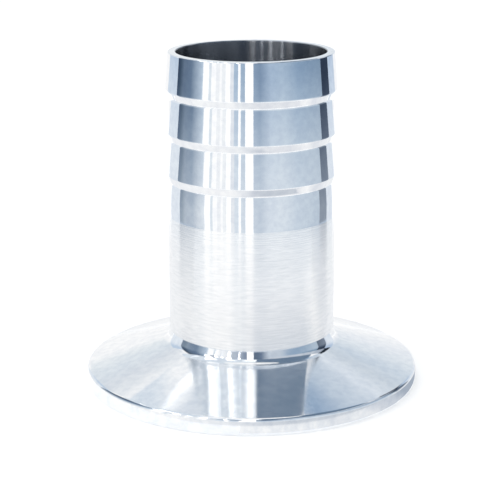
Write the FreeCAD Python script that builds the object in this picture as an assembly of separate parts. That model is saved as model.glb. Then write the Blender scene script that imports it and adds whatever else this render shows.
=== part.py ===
import FreeCAD, Part
import math
import os

# Sanitary clamp hose adapter, turned from one bar of stainless steel.
# The sealing face lies on Z = 0 with the bore on the Z axis, and the hose end points up.
# Sizes are in millimetres and degrees.

# Clamp flange, whose cone and rim meet at rim_height before the edge is rounded
flange_diameter = 50.5
rim_height = 2.5
rim_top_round = 0.6
rim_foot_round = 0.3
clamp_cone_angle = 17.0

# Gasket groove in the sealing face, two sloping sides with a round bed between them
groove_pitch_diameter = 43.5
groove_depth = 1.6
groove_bed_round = 2.35
groove_side_angle = 60.0
groove_lip_round = 0.2

# Neck that is cut back under the shank and widens down to a large fillet on the cone
neck_top_diameter = 23.9
neck_foot_diameter = 25.6
neck_fillet = 1.8

# Plain shank that the hose ends on
shank_diameter = 25.1
shank_foot_height = 8.05
shank_length = 20.2
shank_foot_break = 0.1
shank_top_round = 40.0

# Hose barbs, each flaring from root to crest on the way down, with a short steep side below
barb_count = 3
barb_pitch = 6.3
barb_root_diameter = 24.6
barb_crest_diameter = 25.5
barb_side_height = 1.1
barb_crest_round = 0.5
barb_root_round = 0.8
run_out_length = 2.9
tip_length = 5.5

# Through bore, and the broken edges of the hose end
bore_diameter = 22.2
end_edge_break = 0.15

# Share of an edge that the roundings at its two ends may take up
rounding_share = 0.96


def corner(radius, height, rounding=0.0):
    """A corner of the half section, with the radius that rounds it."""
    return FreeCAD.Vector(radius, 0, height), rounding


def cone_height(radius):
    """The height of the clamp cone at a radius."""
    slope = math.tan(math.radians(clamp_cone_angle))
    return rim_height + (flange_diameter / 2 - radius) * slope


def gasket_groove():
    """The groove that the gasket's bead seats in."""
    side = math.radians(groove_side_angle)
    pitch_radius = groove_pitch_diameter / 2
    apex_height = groove_depth + groove_bed_round * (1 / math.cos(side) - 1)
    half_width = apex_height / math.tan(side)
    return [
        corner(pitch_radius - half_width, 0, groove_lip_round),
        corner(pitch_radius, apex_height, groove_bed_round),
        corner(pitch_radius + half_width, 0, groove_lip_round),
    ]


def flange():
    """The sealing face with its groove, the rim and the clamp cone up to the neck."""
    face_start = corner(bore_diameter / 2, 0)
    rim_radius = flange_diameter / 2
    neck_radius = neck_foot_diameter / 2
    rim_and_cone = [
        corner(rim_radius, 0, rim_foot_round),
        corner(rim_radius, rim_height, rim_top_round),
        corner(neck_radius, cone_height(neck_radius), neck_fillet),
    ]
    return [face_start] + gasket_groove() + rim_and_cone


def shank():
    """The plain shank, which overhangs the neck and eases into the run-out of the lowest barb."""
    shank_radius = shank_diameter / 2
    return [
        corner(neck_top_diameter / 2, shank_foot_height),
        corner(shank_radius, shank_foot_height, shank_foot_break),
        corner(shank_radius, shank_foot_height + shank_length, shank_top_round),
    ]


def barb_foot(index):
    """The height where a barb's steep side leaves the root, counted from the lowest barb."""
    return shank_foot_height + shank_length + run_out_length + index * barb_pitch


def barbs():
    """The steep side and the crest of each barb; its flare runs on to the next root."""
    corners = []
    for index in range(barb_count):
        foot = barb_foot(index)
        crest = foot + barb_side_height
        corners.append(corner(barb_root_diameter / 2, foot, barb_root_round))
        corners.append(corner(barb_crest_diameter / 2, crest, barb_crest_round))
    return corners


def hose_end():
    """The end face, above the flare of the highest barb."""
    end_height = barb_foot(barb_count - 1) + barb_side_height + tip_length
    return [
        corner(barb_root_diameter / 2, end_height, end_edge_break),
        corner(bore_diameter / 2, end_height, end_edge_break),
    ]


def neighbours(corners, index):
    """The points before, at and after a corner of the closed section."""
    after = (index + 1) % len(corners)
    return corners[index - 1][0], corners[index][0], corners[after][0]


def half_angle(corners, index):
    """Half the angle between the two edges that meet at a corner."""
    before, point, after = neighbours(corners, index)
    return (before - point).getAngle(after - point) / 2


def wanted_reach(corners, index):
    """How far along its edges a corner's rounding starts, at its full radius."""
    return corners[index][1] / math.tan(half_angle(corners, index))


def allowed_reach(corners, index):
    """The same length, cut down where an edge is too short for both its roundings."""
    before, point, after = neighbours(corners, index)
    reach = wanted_reach(corners, index)
    shares = [1.0]
    for end, other in ((before, index - 1), (after, (index + 1) % len(corners))):
        both = reach + wanted_reach(corners, other)
        room = rounding_share * (end - point).Length
        if both > room:
            shares.append(room / both)
    return reach * min(shares)


def corner_arc(corners, index):
    """Where a corner's rounding starts and ends, and its arc if it has one."""
    before, point, after = neighbours(corners, index)
    reach = allowed_reach(corners, index)
    if reach == 0:
        return point, point, []
    to_before = (before - point).normalize()
    to_after = (after - point).normalize()
    half = half_angle(corners, index)
    radius = reach * math.tan(half)
    inward = (to_before + to_after).normalize()
    middle = point + inward * (radius / math.sin(half) - radius)
    start = point + to_before * reach
    end = point + to_after * reach
    return start, end, [Part.Arc(start, middle, end).toShape()]


def half_section(corners):
    """The closed outline through the corners, with an arc at each rounded one."""
    edges = []
    pieces = [corner_arc(corners, index) for index in range(len(corners))]
    last_end = pieces[-1][1]
    for start, end, arc in pieces:
        edges.append(Part.makeLine(last_end, start))
        edges.extend(arc)
        last_end = end
    return Part.Wire(edges)


def hose_adapter():
    """The adapter, its half section turned once about the bore's axis."""
    section = half_section(flange() + shank() + barbs() + hose_end())
    origin = FreeCAD.Vector(0, 0, 0)
    bore_axis = FreeCAD.Vector(0, 0, 1)
    return Part.Face(section).revolve(origin, bore_axis)


os.makedirs("parts", exist_ok=True)
hose_adapter().exportStep("parts/hose_adapter.step")
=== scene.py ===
import math

import bpy
from mathutils import Matrix, Vector

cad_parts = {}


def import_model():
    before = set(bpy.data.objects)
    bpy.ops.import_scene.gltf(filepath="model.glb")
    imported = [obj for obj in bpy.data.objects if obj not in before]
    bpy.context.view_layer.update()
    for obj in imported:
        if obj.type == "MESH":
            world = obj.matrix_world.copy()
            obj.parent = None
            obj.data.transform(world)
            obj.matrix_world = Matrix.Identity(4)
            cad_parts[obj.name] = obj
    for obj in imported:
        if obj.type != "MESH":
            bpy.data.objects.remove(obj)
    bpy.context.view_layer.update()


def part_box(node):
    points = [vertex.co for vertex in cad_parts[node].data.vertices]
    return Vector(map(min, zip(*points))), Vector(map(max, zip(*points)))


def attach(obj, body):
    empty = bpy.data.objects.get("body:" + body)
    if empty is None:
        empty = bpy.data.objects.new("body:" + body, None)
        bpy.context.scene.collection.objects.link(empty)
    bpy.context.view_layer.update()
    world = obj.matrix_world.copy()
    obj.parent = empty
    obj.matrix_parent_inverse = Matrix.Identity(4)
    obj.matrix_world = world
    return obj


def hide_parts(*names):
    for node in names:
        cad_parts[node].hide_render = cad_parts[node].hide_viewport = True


# Sanitary clamp hose adapter, turned from one bar of stainless steel.
# Sizes are in millimetres and degrees until a mesh is made, and objects are in metres.
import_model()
MM = 0.001

# The flange's width and the adapter's height come from the frame
adapter_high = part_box("hose_adapter")[1]
flange_radius = adapter_high.x / MM
end_height = adapter_high.z / MM

# Clamp flange
rim_height = 2.5
rim_top_round = 0.6
rim_foot_round = 0.3
clamp_cone_angle = 17.0

# Gasket groove in the sealing face
groove_pitch_radius = 21.75
groove_depth = 1.6
groove_bed_round = 2.35
groove_side_angle = 60.0
groove_lip_round = 0.2

# Neck, which widens a little towards the clamp cone, and shank
neck_top_radius = 11.95
neck_foot_radius = 12.8
neck_fillet = 1.8
shank_radius = 12.55
shank_foot_height = 8.05
shank_foot_break = 0.1
shank_top_height = 28.25
shank_top_round = 40.0

# Satin turning on the shank, left as it came off the lathe. Real feed marks are finer, and these
# are as coarse as they need to be to show.
satin_top_height = 25.95
feed_pitch = 0.33
feed_depth = 0.0022
rings_per_feed = 4
unevenness_scale = 0.7
unevenness_detail = 1.0
mark_seed = 7.0

# Hose barbs
barb_count = 3
barb_pitch = 6.3
barb_root_radius = 12.3
barb_crest_radius = 12.75
barb_side_height = 1.1
barb_crest_round = 0.5
barb_root_round = 0.8
lowest_barb_foot = 31.15

# Bore and hose end
bore_radius = 11.1
end_edge_break = 0.15

# How finely the turned mesh follows the half section
turning_segments = 192
arc_step_degrees = 5.0
arc_step_length = 0.6
fewest_arc_steps = 2

# A straight stretch has a point this close to each end, unless it is shorter than the next value
hold_distance = 0.05
shortest_held = 0.2

# Points of the turned mesh that lie closer than this are one point
seam_distance = 0.0002
sharp_angle = 40.0

# Finish of each stretch of the half section, which picks its material
FACED, BUFFED, SATIN, BORED, POLISHED = range(5)


def linear(value):
    """One sRGB channel, from 0 to 1, as linear light."""
    return value / 12.92 if value <= 0.04045 else ((value + 0.055) / 1.055) ** 2.4


def colour(hex_code):
    """An sRGB hex colour as linear RGBA."""
    channels = [int(hex_code[start:start + 2], 16) / 255 for start in (1, 3, 5)]
    return tuple(linear(channel) for channel in channels) + (1.0,)


def add_node(tree, kind, inputs=None, **settings):
    """Adds a node with its settings, and fills or links its inputs by name or number.

    A node that is given as an input stands for its first output.
    """
    node = tree.nodes.new(kind)
    for name, value in settings.items():
        setattr(node, name, value)
    for key, value in (inputs or {}).items():
        source = value.outputs[0] if isinstance(value, bpy.types.Node) else value
        if isinstance(source, bpy.types.NodeSocket):
            tree.links.new(source, node.inputs[key])
        else:
            node.inputs[key].default_value = source
    return node


# Materials


def new_material(name):
    """A material with an empty node tree."""
    material = bpy.data.materials.new(name)
    material.use_nodes = True
    material.node_tree.nodes.clear()
    return material, material.node_tree


def object_place(tree):
    """Object coordinates, as one vector and as its axes."""
    place = add_node(tree, "ShaderNodeTexCoord").outputs["Object"]
    return place, add_node(tree, "ShaderNodeSeparateXYZ", {"Vector": place}).outputs


# Soft clouds in the steel's roughness
cloud_size = 5.0
cloud_spread = 0.02
cloud_detail = 3.0
cloud_contrast = (0.3, 0.7)

# Mottling of its tone, and fineness of its lines and waves
grain_detail = 4.0
grain_contrast = (0.35, 0.65)
relief_detail = 2.0

# A quarter turn, which blurs along the axis and keeps edges crisp across it
blur_turn = 0.25


def turned_steel(name, tones, roughness, anisotropy, lines, waves, grain):
    """Stainless steel that was turned or buffed round the bore's axis.

    Its lines run round the axis, so a reflection is drawn out along it and keeps its upright
    edges. Lines and waves are each a size and a depth, and the waves are what buffing leaves.
    Real lines are finer, and these are as coarse as they need to be to show. Grain is the size
    of the tone's mottling and how many times it is longer than high.
    """
    material, tree = new_material(name)
    place, axes = object_place(tree)

    clouds = add_node(
        tree,
        "ShaderNodeTexNoise",
        {"Vector": place, "Scale": 1 / (cloud_size * MM), "Detail": cloud_detail},
        noise_dimensions="3D",
    )
    drift = add_node(
        tree,
        "ShaderNodeMapRange",
        {
            "Value": clouds,
            "From Min": cloud_contrast[0],
            "From Max": cloud_contrast[1],
            "To Min": roughness - cloud_spread,
            "To Max": roughness + cloud_spread,
        },
    )

    grain_size, grain_stretch = grain
    flattened = add_node(
        tree,
        "ShaderNodeVectorMath",
        {0: place, 1: (1.0, 1.0, grain_stretch)},
        operation="MULTIPLY",
    )
    mottling = add_node(
        tree,
        "ShaderNodeTexNoise",
        {"Vector": flattened, "Scale": 1 / (grain_size * MM), "Detail": grain_detail},
        noise_dimensions="3D",
    )
    spots = add_node(
        tree,
        "ShaderNodeMapRange",
        {"Value": mottling, "From Min": grain_contrast[0], "From Max": grain_contrast[1]},
    )
    tone = add_node(
        tree,
        "ShaderNodeMixRGB",
        {"Fac": spots, "Color1": colour(tones[0]), "Color2": colour(tones[1])},
    )

    # The lines follow the surface, outwards on the flange and upwards on the shank
    reach = add_node(tree, "ShaderNodeCombineXYZ", {"X": axes["X"], "Y": axes["Y"]})
    radius = add_node(tree, "ShaderNodeVectorMath", {0: reach}, operation="LENGTH")
    along = add_node(
        tree,
        "ShaderNodeMath",
        {0: radius.outputs["Value"], 1: axes["Z"]},
        operation="SUBTRACT",
    )
    line_size, line_depth = lines
    line_pattern = add_node(
        tree,
        "ShaderNodeTexNoise",
        {"W": along, "Scale": 1 / (line_size * MM), "Detail": relief_detail},
        noise_dimensions="1D",
    )
    rings = add_node(tree, "ShaderNodeMath", {0: line_pattern, 1: line_depth}, operation="MULTIPLY")

    wave_size, wave_depth = waves
    wave_pattern = add_node(
        tree,
        "ShaderNodeTexNoise",
        {"Vector": place, "Scale": 1 / (wave_size * MM), "Detail": relief_detail},
        noise_dimensions="3D",
    )
    swells = add_node(tree, "ShaderNodeMath", {0: wave_pattern, 1: wave_depth}, operation="MULTIPLY")
    relief = add_node(tree, "ShaderNodeMath", {0: rings, 1: swells}, operation="ADD")
    bump = add_node(tree, "ShaderNodeBump", {"Height": relief, "Distance": MM, "Strength": 1.0})

    steel = add_node(
        tree,
        "ShaderNodeBsdfPrincipled",
        {
            "Base Color": tone,
            "Metallic": 1.0,
            "Roughness": drift,
            "Anisotropic": anisotropy,
            "Anisotropic Rotation": blur_turn,
            "Tangent": add_node(tree, "ShaderNodeTangent", direction_type="RADIAL", axis="Z"),
            "Normal": bump,
        },
    )
    add_node(tree, "ShaderNodeOutputMaterial", {"Surface": steel})
    return material


def adapter_finishes():
    """The finishes of the one bar of stainless steel, in the order of their numbers."""
    return [
        # Faced on the lathe and hidden under the flange: a soft grey sheen
        turned_steel(
            "faced stainless",
            tones=("#D4D6D9", "#C6C9CD"),
            roughness=0.30,
            anisotropy=0.5,
            lines=(0.12, 0.002),
            waves=(3.0, 0.002),
            grain=(0.7, 1.0),
        ),
        # Buffed to a mirror: crisp reflections whose edges waver a little
        turned_steel(
            "mirror buffed stainless",
            tones=("#F9FAFB", "#EEF0F4"),
            roughness=0.04,
            anisotropy=0.4,
            lines=(0.2, 0.0003),
            waves=(1.0, 0.0012),
            grain=(0.9, 1.0),
        ),
        # Fine turned and left satin: pale, with fine rings and reflections blurred along the axis
        turned_steel(
            "satin turned stainless",
            tones=("#FBFBFB", "#F2F3F4"),
            roughness=0.20,
            anisotropy=0.9,
            lines=(0.16, 0.006),
            waves=(1.5, 0.0004),
            grain=(2.0, 8.0),
        ),
        # Bored and left as cut, with thin upright glints: its tones are set darker than the other
        # finishes as painted shade in the deep bore, where little light gets in
        turned_steel(
            "bored stainless with painted shade",
            tones=("#A8ACB2", "#9EA2A9"),
            roughness=0.21,
            anisotropy=1.0,
            lines=(0.3, 0.001),
            waves=(2.0, 0.0004),
            grain=(0.7, 1.0),
        ),
        # Turned and polished: reflections crisp across and soft along the cone, with a faint mottle
        turned_steel(
            "polished stainless",
            tones=("#F9FAFB", "#EDF0F4"),
            roughness=0.075,
            anisotropy=1.0,
            lines=(0.25, 0.0003),
            waves=(1.6, 0.0003),
            grain=(1.2, 1.0),
        ),
    ]


# The half section


def corner(radius, height, rounding=0.0, finish=BUFFED):
    """A corner of the half section, its rounding, and the finish of the stretch that leaves it."""
    return Vector((radius, height)), rounding, finish


def cone_height(radius):
    """The height of the clamp cone at a radius."""
    return rim_height + (flange_radius - radius) * math.tan(math.radians(clamp_cone_angle))


def gasket_groove():
    """The groove that the gasket's bead seats in."""
    side = math.radians(groove_side_angle)
    apex_height = groove_depth + groove_bed_round * (1 / math.cos(side) - 1)
    half_width = apex_height / math.tan(side)
    return [
        corner(groove_pitch_radius - half_width, 0, groove_lip_round, FACED),
        corner(groove_pitch_radius, apex_height, groove_bed_round, FACED),
        corner(groove_pitch_radius + half_width, 0, groove_lip_round, FACED),
    ]


def flange_and_neck():
    """The sealing face, rim, clamp cone and neck."""
    return [
        corner(bore_radius, 0, 0, FACED),
        *gasket_groove(),
        corner(flange_radius, 0, rim_foot_round, POLISHED),
        corner(flange_radius, rim_height, rim_top_round, POLISHED),
        corner(neck_foot_radius, cone_height(neck_foot_radius), neck_fillet, POLISHED),
    ]


def shank():
    """The plain shank, satin up to its buffed top, where it eases into the run-out."""
    return [
        corner(neck_top_radius, shank_foot_height, 0, POLISHED),
        corner(shank_radius, shank_foot_height, shank_foot_break, SATIN),
        corner(shank_radius, satin_top_height),
        corner(shank_radius, shank_top_height, shank_top_round),
    ]


def barbs():
    """The steep side and crest of each barb; its flare runs on to the next root."""
    corners = []
    for index in range(barb_count):
        foot = lowest_barb_foot + index * barb_pitch
        corners.append(corner(barb_root_radius, foot, barb_root_round))
        corners.append(corner(barb_crest_radius, foot + barb_side_height, barb_crest_round))
    return corners


def hose_end():
    """The end face and the bore below it."""
    return [
        corner(barb_root_radius, end_height, end_edge_break),
        corner(bore_radius, end_height, end_edge_break, BORED),
    ]


def rounded_corner(before, point, after, rounding):
    """The points of a corner's arc, or the corner itself if it has none."""
    if rounding == 0:
        return [point]
    to_before = (before - point).normalized()
    to_after = (after - point).normalized()
    half = to_before.angle(to_after) / 2
    centre = point + (to_before + to_after).normalized() * rounding / math.sin(half)
    turn = math.pi - 2 * half
    steps = max(
        math.ceil(math.degrees(turn) / arc_step_degrees),
        math.ceil(turn * rounding / arc_step_length),
        fewest_arc_steps,
    )
    start = point + to_before * rounding / math.tan(half) - centre
    way = 1 if start.cross(to_before) < 0 else -1
    arc = []
    for step in range(steps + 1):
        angle = way * turn * step / steps
        arc.append(centre + Matrix.Rotation(angle, 2) @ start)
    return arc


def stretch(start, end, finish):
    """Points along a straight stretch, between its ends, and how deep the feed marks are there."""
    along = end - start
    if finish == SATIN:
        count = math.ceil(along.length / feed_pitch * rings_per_feed)
        return [(start + along * index / count, 1.0) for index in range(1, count)]
    if along.length < shortest_held:
        return []
    hold = along.normalized() * hold_distance
    return [(start + hold, 0.0), (end - hold, 0.0)]


def half_section():
    """All points of the closed half section, each with its finish and depth of feed marks."""
    corners = flange_and_neck() + shank() + barbs() + hose_end()
    arcs = []
    for index, (point, rounding, _) in enumerate(corners):
        before = corners[index - 1][0]
        after = corners[(index + 1) % len(corners)][0]
        arcs.append(rounded_corner(before, point, after, rounding))
    points = []
    for index, arc in enumerate(arcs):
        finish = corners[index][2]
        next_start = arcs[(index + 1) % len(arcs)][0]
        points.extend((point, finish, 0.0) for point in arc)
        for point, depth in stretch(arc[-1], next_start, finish):
            points.append((point, finish, depth))
    return points


# The turned body


def outline_object(points):
    """A mesh of the half section's points, with its finish and feed marks as attributes."""
    mesh = bpy.data.meshes.new("half section")
    places = [(point.x * MM, 0.0, point.y * MM) for point, _, _ in points]
    mesh.from_pydata(places, [], [])
    finishes = mesh.attributes.new("finish", "INT", "POINT")
    finishes.data.foreach_set("value", [finish for _, finish, _ in points])
    depths = mesh.attributes.new("feed_marks", "FLOAT", "POINT")
    depths.data.foreach_set("value", [depth for _, _, depth in points])
    outline = bpy.data.objects.new("half section", mesh)
    bpy.context.scene.collection.objects.link(outline)
    return outline


def turning_tree(finishes):
    """Geometry nodes that turn a half section about the Z axis and cut the feed marks."""
    tree = bpy.data.node_groups.new("turn a half section", "GeometryNodeTree")
    sockets = tree.interface
    sockets.new_socket("Half Section", in_out="INPUT", socket_type="NodeSocketGeometry")
    sockets.new_socket("Segments", in_out="INPUT", socket_type="NodeSocketInt")
    for name in ("Feed Pitch", "Feed Depth", "Seed"):
        sockets.new_socket(name, in_out="INPUT", socket_type="NodeSocketFloat")
    sockets.new_socket("Turned Body", in_out="OUTPUT", socket_type="NodeSocketGeometry")
    given = add_node(tree, "NodeGroupInput").outputs
    outline = given["Half Section"]
    index = add_node(tree, "GeometryNodeInputIndex")

    # One row of the grid for each point, one more to close the section, and one column a segment
    size = add_node(tree, "GeometryNodeAttributeDomainSize", {"Geometry": outline}, component="MESH")
    point_count = size.outputs["Point Count"]
    rows = add_node(tree, "FunctionNodeIntegerMath", {0: point_count, 1: 1}, operation="ADD")
    columns = add_node(tree, "FunctionNodeIntegerMath", {0: given["Segments"], 1: 1}, operation="ADD")
    grid = add_node(
        tree,
        "GeometryNodeMeshGrid",
        {"Size X": 1.0, "Size Y": 1.0, "Vertices X": rows, "Vertices Y": columns},
    )
    grid_row = add_node(
        tree, "FunctionNodeIntegerMath", {0: index, 1: columns}, operation="DIVIDE_FLOOR"
    )
    row = add_node(tree, "FunctionNodeIntegerMath", {0: grid_row, 1: point_count}, operation="MODULO")
    column = add_node(tree, "FunctionNodeIntegerMath", {0: index, 1: columns}, operation="MODULO")

    # Radius and height come from the outline
    position = add_node(tree, "GeometryNodeInputPosition")
    outline_place = add_node(
        tree,
        "GeometryNodeSampleIndex",
        {"Geometry": outline, "Value": position, "Index": row},
        data_type="FLOAT_VECTOR",
    )
    place = add_node(tree, "ShaderNodeSeparateXYZ", {"Vector": outline_place.outputs["Value"]}).outputs

    # The feed marks are rings of uneven depth
    turns = add_node(
        tree, "ShaderNodeMath", {0: place["Z"], 1: given["Feed Pitch"]}, operation="DIVIDE"
    )
    noise_place = add_node(tree, "ShaderNodeMath", {0: turns, 1: given["Seed"]}, operation="ADD")
    unevenness = add_node(
        tree,
        "ShaderNodeTexNoise",
        {"W": noise_place, "Scale": unevenness_scale, "Detail": unevenness_detail},
        noise_dimensions="1D",
    )
    phase = add_node(tree, "ShaderNodeMath", {0: turns, 1: math.tau}, operation="MULTIPLY")
    wave = add_node(tree, "ShaderNodeMath", {0: phase}, operation="SINE")
    uneven_wave = add_node(tree, "ShaderNodeMath", {0: wave, 1: unevenness}, operation="MULTIPLY")
    mark = add_node(
        tree, "ShaderNodeMath", {0: uneven_wave, 1: given["Feed Depth"]}, operation="MULTIPLY"
    )
    feed_marks = add_node(
        tree, "GeometryNodeInputNamedAttribute", {"Name": "feed_marks"}, data_type="FLOAT"
    )
    marked_share = add_node(
        tree,
        "GeometryNodeSampleIndex",
        {"Geometry": outline, "Value": feed_marks.outputs["Attribute"], "Index": row},
        data_type="FLOAT",
    )
    cut = add_node(
        tree, "ShaderNodeMath", {0: mark, 1: marked_share.outputs["Value"]}, operation="MULTIPLY"
    )

    # Each point of the grid goes to its place round the axis
    radius = add_node(tree, "ShaderNodeMath", {0: place["X"], 1: cut}, operation="SUBTRACT")
    whole_turns = add_node(tree, "ShaderNodeMath", {0: column, 1: -math.tau}, operation="MULTIPLY")
    angle = add_node(
        tree, "ShaderNodeMath", {0: whole_turns, 1: given["Segments"]}, operation="DIVIDE"
    )
    cosine = add_node(tree, "ShaderNodeMath", {0: angle}, operation="COSINE")
    sine = add_node(tree, "ShaderNodeMath", {0: angle}, operation="SINE")
    turned = add_node(
        tree,
        "ShaderNodeCombineXYZ",
        {
            "X": add_node(tree, "ShaderNodeMath", {0: radius, 1: cosine}, operation="MULTIPLY"),
            "Y": add_node(tree, "ShaderNodeMath", {0: radius, 1: sine}, operation="MULTIPLY"),
            "Z": place["Z"],
        },
    )
    body = add_node(tree, "GeometryNodeSetPosition", {"Geometry": grid, "Position": turned})

    # Each face keeps the finish of the outline stretch that it was turned from
    finish_number = add_node(
        tree, "GeometryNodeInputNamedAttribute", {"Name": "finish"}, data_type="INT"
    ).outputs["Attribute"]
    face_row = add_node(
        tree, "FunctionNodeIntegerMath", {0: index, 1: given["Segments"]}, operation="DIVIDE_FLOOR"
    )
    face_finish = add_node(
        tree,
        "GeometryNodeSampleIndex",
        {"Geometry": outline, "Value": finish_number, "Index": face_row},
        data_type="INT",
    )
    finished = add_node(
        tree,
        "GeometryNodeStoreNamedAttribute",
        {"Geometry": body, "Name": "finish", "Value": face_finish.outputs["Value"]},
        data_type="INT",
        domain="FACE",
    )
    closed = add_node(
        tree, "GeometryNodeMergeByDistance", {"Geometry": finished, "Distance": seam_distance * MM}
    )
    smooth = add_node(tree, "GeometryNodeSetShadeSmooth", {"Geometry": closed})
    last = add_node(tree, "GeometryNodeRealizeInstances", {"Geometry": smooth})
    for number, material in enumerate(finishes):
        covered = {"Geometry": last, "Material": material}
        if number > 0:
            covered["Selection"] = add_node(
                tree,
                "FunctionNodeCompare",
                {2: finish_number, 3: number},
                data_type="INT",
                operation="EQUAL",
            )
        last = add_node(tree, "GeometryNodeSetMaterial", covered)
    add_node(tree, "NodeGroupOutput", {"Turned Body": last})
    return tree


def set_inputs(modifier, values):
    """Sets a node modifier's inputs by their identifiers."""
    for item in modifier.node_group.interface.items_tree:
        if item.name in values:
            modifier[item.identifier] = values[item.name]


def turned_adapter():
    """The whole fitting as one closed turned mesh, which stands for its CAD node."""
    outline = outline_object(half_section())
    turning = outline.modifiers.new("turning", "NODES")
    turning.node_group = turning_tree(adapter_finishes())
    set_inputs(
        turning,
        {
            "Segments": turning_segments,
            "Feed Pitch": feed_pitch * MM,
            "Feed Depth": feed_depth * MM,
            "Seed": mark_seed,
        },
    )
    graph = bpy.context.evaluated_depsgraph_get()
    mesh = bpy.data.meshes.new_from_object(outline.evaluated_get(graph), depsgraph=graph)
    bpy.data.objects.remove(outline)
    mesh.set_sharp_from_angle(angle=math.radians(sharp_angle))
    piece = bpy.data.objects.new("turned_adapter", mesh)
    bpy.context.scene.collection.objects.link(piece)
    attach(piece, "root")
    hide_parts("hose_adapter")


# The studio: a pale floor, soft light, and cards and sheets that only the steel mirrors, the sheets
# being painted shade of the floor.
# Azimuths are counted from the camera's side towards its right.

# Distances of the cards from the adapter's axis
lamp_distance = 97.0
strip_distance = 98.0
skirting_distance = 99.0
wall_distance = 100.0
haze_distance = 101.0
high_strip_distance = 298.0
back_distance = 300.0

# Heights where the cards meet, of which the barbs mirror the lowest, and the neck the next
strip_bottom = 0.5
skirting_top = 2.5
barb_view_top = 55.0
haze_top = 58.0
neck_view_top = 90.0
slant_top = 160.0
wall_top = 320.0
back_top = 440.0
barb_view = (0.0, barb_view_top)
neck_view = (barb_view_top, neck_view_top)
cone_view = (neck_view_top, slant_top)
lamp_heights = (62.0, 82.0)
fan_tail_heights = (100.0, 113.0)
high_strip_heights = (322.0, 343.0)

# Azimuths where the stretches of wall meet, and those of the cards round it and behind
wall_start = -109.5
wall_bend = -64.0
wall_end = 101.0
flag_end = 119.0
high_flag = (121.0, 137.0)
left_haze = (-138.0, -108.0)
right_haze = (118.0, 140.0)
upper_start = -150.0
upper_bend = 8.0
upper_end = 152.0
left_back = (180.0, 234.0)
right_back = (126.0, 180.0)
high_strip = (180.0, 215.0)

# How cloth pales towards the floor, as painted light from the white floor: a gamma of 1 leaves
# its tone, and a low one brings it near white
pale_gamma = 0.36
# Above its paling the cloth darkens, as painted shade, by this gamma up to this height
dark_gamma = 1.35
dark_height = 130.0
paling_power = 2.0
wall_paling = (20.0, 48.0)
edge_paling = (6.0, 41.0)
haze_paling = (18.0, 44.0)

# Blue-grey cloth, darker at the ends of the wall and again in its middle
low_wall_tones = [
    (-109, "#384860"),
    (-103, "#44566A"),
    (-96, "#66788E"),
    (-82, "#6C8098"),
    (-64, "#C0D0E0"),
]
wall_tones = [
    (-64, "#C8D6E4"),
    (-20, "#B2C6DA"),
    (11, "#8298B2"),
    (24, "#AABED4"),
    (40, "#ACC0D4"),
    (60, "#8CA4BE"),
    (101, "#748CA6"),
]

# Higher up, where only the neck and the bore mirror it
middle_wall_tones = [
    (-64, "#98A4B4"),
    (-20, "#B4BECC"),
    (-10, "#8C98AC"),
    (5, "#56667C"),
    (14, "#687890"),
    (24, "#CAD2DC"),
    (101, "#C4CCD6"),
]

# Light strips before the wall, from left to right: name, azimuths, tone and strength
strip_strength = 1.15
strips = [
    ("left strip", (-62.8, -54.3), "#FFFFFF", strip_strength),
    ("panel edge", (-54.3, -50.8), "#E6EEF4", 1.0),
    ("panel", (-50.8, -44.4), "#FFFFFF", 1.08),
    ("panel side", (-44.4, -39.5), "#F9FBFD", 1.0),
    ("panel rib", (-39.5, -36.5), "#FFFFFF", 1.06),
    ("panel end", (-36.5, -31.9), "#F7FAFC", 1.0),
    ("panel strip", (-31.9, -25.9), "#FFFFFF", strip_strength),
    ("panel step", (-25.9, -21.5), "#ECF0F5", 1.0),
    ("thin strip", (-16.2, -13.2), "#FFFFFF", strip_strength),
    ("front strip", (-7.6, 2.5), "#FFFFFF", strip_strength),
]

# The same strips above the barbs' view, where the neck mirrors them
strip_tops = [
    ("left strip top", (-68.5, -60.0), "#FFFFFF", strip_strength),
    ("panel top", (-52.0, -28.5), "#F0F3F7", 1.0),
    ("front strip top", (-6.5, 2.8), "#FFFFFF", strip_strength),
]

# Lamps in them, bright because the back of the bore mirrors them through its own blur
lamp_strength = 8.0
weak_lamp_strength = 3.5
lamps = [
    ("left lamp", (-71.0, -67.8), "#FFFFFF", weak_lamp_strength),
    ("panel lamp", (-54.0, -50.8), "#FFFFFF", lamp_strength),
    ("rib lamp", (-44.0, -41.8), "#FFFFFF", weak_lamp_strength),
    ("panel end lamp", (-34.5, -30.2), "#FFFFFF", lamp_strength),
    ("thin lamp", (-18.6, -16.6), "#FFFFFF", lamp_strength),
    ("front lamp", (-5.6, -1.4), "#FFFFFF", weak_lamp_strength),
]

# The lights fan out above, for the cone: name, distance, heights, azimuths below and above
fan_strength = 1.6
fans = [
    ("left fan", strip_distance, cone_view, (-72, -62), (-107, -66)),
    ("fan tail", lamp_distance, fan_tail_heights, (-98, -88), (-137, -114)),
    ("panel fan", strip_distance, cone_view, (-40, -36), (-45.5, -25.5)),
    ("front fan", strip_distance, cone_view, (-3, 1), (-18, 11)),
]

# Behind the adapter the cards pale towards the floor, and the right one darkens upwards: painted light
# and painted shade
left_back_tones = [
    (0, "#FFFFFF"),
    (70, "#FFFFFF"),
    (100, "#ECF1F4"),
    (140, "#E1E8EE"),
    (185, "#E0E5EB"),
    (215, "#E8ECF0"),
    (260, "#FFFFFF"),
    (345, "#FFFFFF"),
    (365, "#EEF2F6"),
    (392, "#D4DCE6"),
]
right_back_tones = [
    (0, "#FFFFFF"),
    (60, "#EDF1F6"),
    (100, "#E3EAF0"),
    (140, "#CFDAE5"),
    (185, "#D0D9E2"),
    (240, "#E2E9F1"),
    (265, "#D0DAE5"),
    (330, "#C2CFDD"),
    (385, "#96ADC7"),
]
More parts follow.
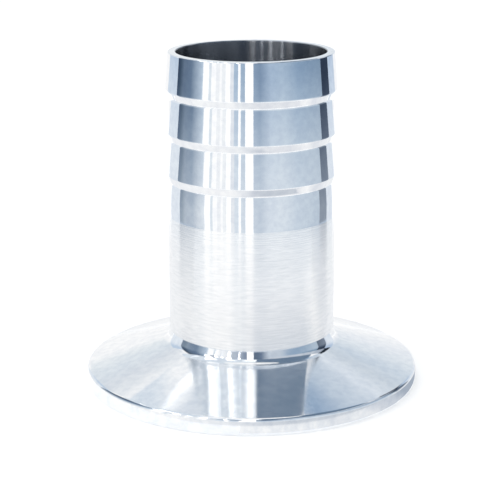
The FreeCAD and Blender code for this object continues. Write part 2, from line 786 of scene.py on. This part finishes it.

# Tones of the sheets on the floor, painted shade of the floor that only the steel mirrors, which
# give the bands under the barbs and the satin shank their faint greys, and fade to white at their ends
rim_floor_shade_tones = [
    (-4, "#FFFFFF"),
    (4, "#FBFCFD"),
    (24, "#F4F6F8"),
    (30, "#E6E9EE"),
    (38, "#F2F4F6"),
    (45, "#EEF0F3"),
    (52, "#D5DAE2"),
    (60, "#CFD5DE"),
    (70, "#A9B3C1"),
    (85, "#A9B3C1"),
    (100, "#FFFFFF"),
]
near_floor_shade_tones = [
    (-165, "#FFFFFF"),
    (-150, "#F3F5F8"),
    (-80, "#FDFDFE"),
    (-30, "#FFFFFF"),
    (-13, "#F2F4F7"),
    (6, "#D3D8E0"),
    (16, "#CDD3DB"),
    (66, "#CDD3DB"),
    (86, "#FFFFFF"),
    (105, "#F3F5F8"),
    (150, "#F3F5F8"),
    (165, "#FFFFFF"),
]
far_floor_shade_tones = [
    (-165, "#FFFFFF"),
    (-150, "#F5F7F9"),
    (-80, "#FCFDFE"),
    (-30, "#FAFBFC"),
    (-13, "#EEF1F4"),
    (6, "#EAECF0"),
    (66, "#EAECF0"),
    (84, "#FFFFFF"),
    (98, "#EAEDF1"),
    (112, "#E8EBF0"),
    (122, "#F3F5F8"),
    (150, "#F3F5F8"),
    (165, "#FFFFFF"),
]
left_outer_floor_shade_tones = [
    (-165, "#FFFFFF"),
    (-150, "#F8F9FB"),
    (-100, "#F8F9FB"),
    (-80, "#FFFFFF"),
]
right_outer_floor_shade_tones = [
    (85, "#FFFFFF"),
    (98, "#EEF0F4"),
    (112, "#EEF0F4"),
    (122, "#F6F8FA"),
    (150, "#F6F8FA"),
    (165, "#FFFFFF"),
]

# The sheets of painted floor shade lie in rings round the adapter: name, inner and outer radius, and
# tones
sheets = [
    ("rim floor shade", (25.6, 28.4), rim_floor_shade_tones),
    ("near floor shade", (28.4, 38.0), near_floor_shade_tones),
    ("far floor shade", (38.0, 62.0), far_floor_shade_tones),
    ("left outer floor shade", (62.0, 97.0), left_outer_floor_shade_tones),
    ("right outer floor shade", (62.0, 97.0), right_outer_floor_shade_tones),
]
sheet_height = 0.3

# How finely cards and sheets are bent round the adapter
card_step_degrees = 4.0


def stage_object(name, vertices, faces, material):
    """A mesh of the studio, which isn't part of the adapter."""
    mesh = bpy.data.meshes.new(name)
    mesh.from_pydata(vertices, [], faces)
    mesh.materials.append(material)
    thing = bpy.data.objects.new(name, mesh)
    bpy.context.scene.collection.objects.link(thing)
    return thing


def mirrored_ring(name, rows, material):
    """A bent strip of the studio between rows of two points, which shows only in the steel."""
    vertices = []
    for azimuths, distances, heights in rows:
        for azimuth, distance, height in zip(azimuths, distances, heights):
            across = math.sin(math.radians(azimuth)) * distance * MM
            forward = -math.cos(math.radians(azimuth)) * distance * MM
            vertices.append((across, forward, height * MM))
    starts = range(0, len(vertices) - 2, 2)
    faces = [(start, start + 2, start + 3, start + 1) for start in starts]
    thing = stage_object(name, vertices, faces, material)
    thing.visible_camera = False
    thing.visible_diffuse = False
    thing.visible_shadow = False


def spread(azimuths):
    """Azimuths from the first to the last in even steps, as shares of the way."""
    first, last = azimuths
    steps = math.ceil((last - first) / card_step_degrees)
    return [step / steps for step in range(steps + 1)]


def card(name, azimuths, distance, heights, material, top_azimuths=None):
    """A bent upright card, which may reach from other azimuths at its top than at its foot."""
    low_first, low_last = azimuths
    top_first, top_last = top_azimuths or azimuths
    rows = []
    for share in spread(azimuths):
        low_azimuth = low_first + (low_last - low_first) * share
        top_azimuth = top_first + (top_last - top_first) * share
        rows.append(((low_azimuth, top_azimuth), (distance, distance), heights))
    mirrored_ring(name, rows, material)


def sheet(name, azimuths, reaches, material):
    """A level ring sector near the floor."""
    first, last = azimuths
    rows = []
    for share in spread(azimuths):
        azimuth = first + (last - first) * share
        rows.append(((azimuth, azimuth), reaches, (sheet_height, sheet_height)))
    mirrored_ring(name, rows, material)


def glow(name, hex_code, strength=1.0):
    """A plain lit card."""
    material, tree = new_material(name)
    light = add_node(tree, "ShaderNodeEmission", {"Color": colour(hex_code), "Strength": strength})
    add_node(tree, "ShaderNodeOutputMaterial", {"Surface": light})
    return material


def blended(tree, value, tones, unit):
    """Tones at steps of a value, which is counted in a unit, and blends between them."""
    first, last = tones[0][0], tones[-1][0]
    share = add_node(
        tree,
        "ShaderNodeMapRange",
        {"Value": value, "From Min": first * unit, "From Max": last * unit},
    )
    ramp = add_node(tree, "ShaderNodeValToRGB", {"Fac": share})
    stops = ramp.color_ramp.elements
    given_stops = len(stops)
    for number, (step, tone) in enumerate(tones):
        where = (step - first) / (last - first)
        stop = stops[number] if number < given_stops else stops.new(where)
        stop.position = where
        stop.color = colour(tone)
    return ramp


def tone_round(tree, axes, tones):
    """Tones at azimuths in degrees, blended round the adapter."""
    forward = add_node(tree, "ShaderNodeMath", {0: axes["Y"], 1: -1.0}, operation="MULTIPLY")
    azimuth = add_node(tree, "ShaderNodeMath", {0: axes["X"], 1: forward}, operation="ARCTAN2")
    return blended(tree, azimuth, tones, math.radians(1.0))


def blended_card(name, tones, upright=False):
    """A lit card whose tones blend with height if they are upright, or else round the adapter."""
    material, tree = new_material(name)
    _, axes = object_place(tree)
    tone = blended(tree, axes["Z"], tones, MM) if upright else tone_round(tree, axes, tones)
    light = add_node(tree, "ShaderNodeEmission", {"Color": tone})
    add_node(tree, "ShaderNodeOutputMaterial", {"Surface": light})
    return material


def cloth(name, tones, paling):
    """A lit cloth that pales between two heights towards the white floor, and darkens above, which are
    painted light and painted shade.
    """
    material, tree = new_material(name)
    _, axes = object_place(tree)
    tone = colour(tones) if isinstance(tones, str) else tone_round(tree, axes, tones)
    lowest, highest = paling
    rise = add_node(
        tree,
        "ShaderNodeMapRange",
        {"Value": axes["Z"], "From Min": lowest * MM, "From Max": highest * MM},
    )
    bent = add_node(tree, "ShaderNodeMath", {0: rise, 1: paling_power}, operation="POWER")
    low_gamma = add_node(
        tree, "ShaderNodeMapRange", {"Value": bent, "To Min": pale_gamma, "To Max": 1.0}
    )
    high_gamma = add_node(
        tree,
        "ShaderNodeMapRange",
        {
            "Value": axes["Z"],
            "From Min": highest * MM,
            "From Max": dark_height * MM,
            "To Min": 1.0,
            "To Max": dark_gamma,
        },
    )
    gamma = add_node(tree, "ShaderNodeMath", {0: low_gamma, 1: high_gamma}, operation="MULTIPLY")
    shaded = add_node(tree, "ShaderNodeGamma", {"Color": tone, "Gamma": gamma})
    light = add_node(tree, "ShaderNodeEmission", {"Color": shaded})
    add_node(tree, "ShaderNodeOutputMaterial", {"Surface": light})
    return material


def wall():
    """The wall round the front, its dark ends, and the hazy cloth beyond them."""
    left = (wall_start, wall_bend)
    dim_cloth = cloth("dim cloth", low_wall_tones, edge_paling)
    card("low left wall", left, wall_distance, (0.0, neck_view_top), dim_cloth)
    middle = (wall_bend, wall_end)
    blue_cloth = cloth("blue-grey cloth", wall_tones, wall_paling)
    card("wall", middle, wall_distance, barb_view, blue_cloth)
    middle_cloth = blended_card("middle cloth", middle_wall_tones)
    card("middle wall", middle, wall_distance, neck_view, middle_cloth)
    right = (wall_end, high_flag[0])
    card("middle wall end", right, wall_distance, neck_view, glow("pale grey cloth", "#AEB8C6"))
    black_cloth = cloth("black cloth", "#323E50", edge_paling)
    card("right flag", (wall_end, flag_end), wall_distance, barb_view, black_cloth)
    card("high flag", high_flag, wall_distance, neck_view, glow("black card", "#1E2632"))
    foot = (0.0, skirting_top)
    card("skirting", (wall_start, flag_end), skirting_distance, foot, glow("skirting", "#B8C6D6"))
    haze = (0.0, haze_top)
    card("left haze", left_haze, haze_distance, haze, cloth("haze", "#C4D4E6", haze_paling))
    card("right haze", right_haze, haze_distance, haze, cloth("dim haze", "#B8CAE0", haze_paling))


def upper_wall():
    """Plain cloth above, pale on the left and dim on the right, which leans out as it rises."""
    pale = glow("pale blue cloth", "#DCE5EE")
    dim = glow("dim blue-grey cloth", "#6C8096")
    left = (upper_start, upper_bend)
    low_right = (upper_bend, wall_end)
    high_right = (upper_bend, upper_end)
    card("upper left wall", left, wall_distance, (neck_view_top, wall_top), pale)
    card("upper right wall", low_right, wall_distance, cone_view, dim, high_right)
    card("high right wall", high_right, wall_distance, (slant_top, wall_top), dim)


def lights():
    """The upright strips before the wall, the lamps in them, and how they fan out above."""
    groups = (
        (strips, strip_distance, (strip_bottom, barb_view_top)),
        (strip_tops, strip_distance, neck_view),
        (lamps, lamp_distance, lamp_heights),
    )
    for group, distance, heights in groups:
        for name, azimuths, tone, strength in group:
            card(name, azimuths, distance, heights, glow(name, tone, strength))
    bright = glow("fanned strip light", "#FFFFFF", fan_strength)
    for name, distance, heights, azimuths, top_azimuths in fans:
        card(name, azimuths, distance, heights, bright, top_azimuths)


def back_cards():
    """Pale cards behind the adapter, with one light high up on the left."""
    whole_height = (0.0, back_top)
    left_cloth = blended_card("left back", left_back_tones, upright=True)
    card("left back", left_back, back_distance, whole_height, left_cloth)
    right_cloth = blended_card("right back", right_back_tones, upright=True)
    card("right back", right_back, back_distance, whole_height, right_cloth)
    bright = glow("high strip", "#FFFFFF", fan_strength)
    card("high strip", high_strip, high_strip_distance, high_strip_heights, bright)


def painted_floor_shade():
    """Sheets of painted shade on the floor, faintly grey, each as far round as its tones go."""
    for name, reaches, tones in sheets:
        sheet(name, (tones[0][0], tones[-1][0]), reaches, blended_card(name, tones))


# The floor, the room's light and the softbox overhead
floor_half_width = 3000.0
floor_glow = 0.33
room_light = 0.75
softbox_place = (-250.0, -150.0, 900.0)
softbox_aim = (0.0, 0.0, 20.0)
softbox_width = 700.0
softbox_power = 2.2


def seen_directly_or_mirrored(tree):
    """1 for camera, mirror and glass rays, and 0 for the light that falls on other things."""
    path = add_node(tree, "ShaderNodeLightPath").outputs
    either = add_node(
        tree,
        "ShaderNodeMath",
        {0: path["Is Camera Ray"], 1: path["Is Glossy Ray"]},
        operation="MAXIMUM",
    )
    return add_node(
        tree, "ShaderNodeMath", {0: either, 1: path["Is Transmission Ray"]}, operation="MAXIMUM"
    )


def floor():
    """A matt white board, which takes the adapter's soft shadow."""
    material, tree = new_material("matt white board")
    glow_share = add_node(
        tree,
        "ShaderNodeMath",
        {0: seen_directly_or_mirrored(tree), 1: floor_glow},
        operation="MULTIPLY",
    )
    board = add_node(
        tree,
        "ShaderNodeBsdfPrincipled",
        {
            "Base Color": colour("#EBECED"),
            "Roughness": 0.6,
            "Specular IOR Level": 0.0,
            "Emission Color": colour("#FFFFFF"),
            "Emission Strength": glow_share,
        },
    )
    add_node(tree, "ShaderNodeOutputMaterial", {"Surface": board})
    half = floor_half_width * MM
    corners = [(-half, -half, 0), (half, -half, 0), (half, half, 0), (-half, half, 0)]
    stage_object("floor", corners, [(0, 1, 2, 3)], material)


def world():
    """Plain white surroundings, which light the floor a little less than the eye sees them."""
    world_light = bpy.data.worlds.new("white room")
    bpy.context.scene.world = world_light
    world_light.use_nodes = True
    tree = world_light.node_tree
    tree.nodes.clear()
    strength = add_node(
        tree,
        "ShaderNodeMapRange",
        {"Value": seen_directly_or_mirrored(tree), "To Min": room_light, "To Max": 1.0},
    )
    background = add_node(
        tree, "ShaderNodeBackground", {"Color": colour("#FFFFFF"), "Strength": strength}
    )
    add_node(tree, "ShaderNodeOutputWorld", {"Surface": background})


def softbox():
    """A large square softbox above, before the adapter and left of it, which isn't mirrored."""
    data = bpy.data.lights.new("top softbox", "AREA")
    data.shape = "SQUARE"
    data.size = softbox_width * MM
    data.energy = softbox_power
    lamp = bpy.data.objects.new("top softbox", data)
    bpy.context.scene.collection.objects.link(lamp)
    lamp.location = Vector(softbox_place) * MM
    way = Vector(softbox_aim) - Vector(softbox_place)
    lamp.rotation_euler = way.to_track_quat("-Z", "Y").to_euler()
    lamp.visible_glossy = False


# The camera, as fitted to the outlines in the photograph
picture_width = 500
focal_pixels = 1514.97
sensor_width = 36.0
camera_back = 221.73
camera_height = 81.58
camera_down = 15.524
camera_left_turn = 0.0598
camera_roll = -0.099
nearest_seen = 10.0
farthest_seen = 20000.0


def camera():
    """A long lens from the front, a little above the adapter."""
    data = bpy.data.cameras.new("camera")
    data.sensor_width = sensor_width
    data.lens = focal_pixels * sensor_width / picture_width
    data.clip_start = nearest_seen * MM
    data.clip_end = farthest_seen * MM
    thing = bpy.data.objects.new("camera", data)
    bpy.context.scene.collection.objects.link(thing)
    tilt = Matrix.Rotation(math.radians(90 - camera_down), 3, "X")
    turn = Matrix.Rotation(math.radians(camera_left_turn), 3, "Z")
    roll = Matrix.Rotation(math.radians(camera_roll), 3, "Z")
    thing.location = (0, -camera_back * MM, camera_height * MM)
    thing.rotation_euler = (turn @ tilt @ roll).to_euler()
    bpy.context.scene.camera = thing


turned_adapter()
wall()
upper_wall()
lights()
back_cards()
painted_floor_shade()
floor()
world()
softbox()
camera()
bpy.context.scene.view_settings.view_transform = "Standard"
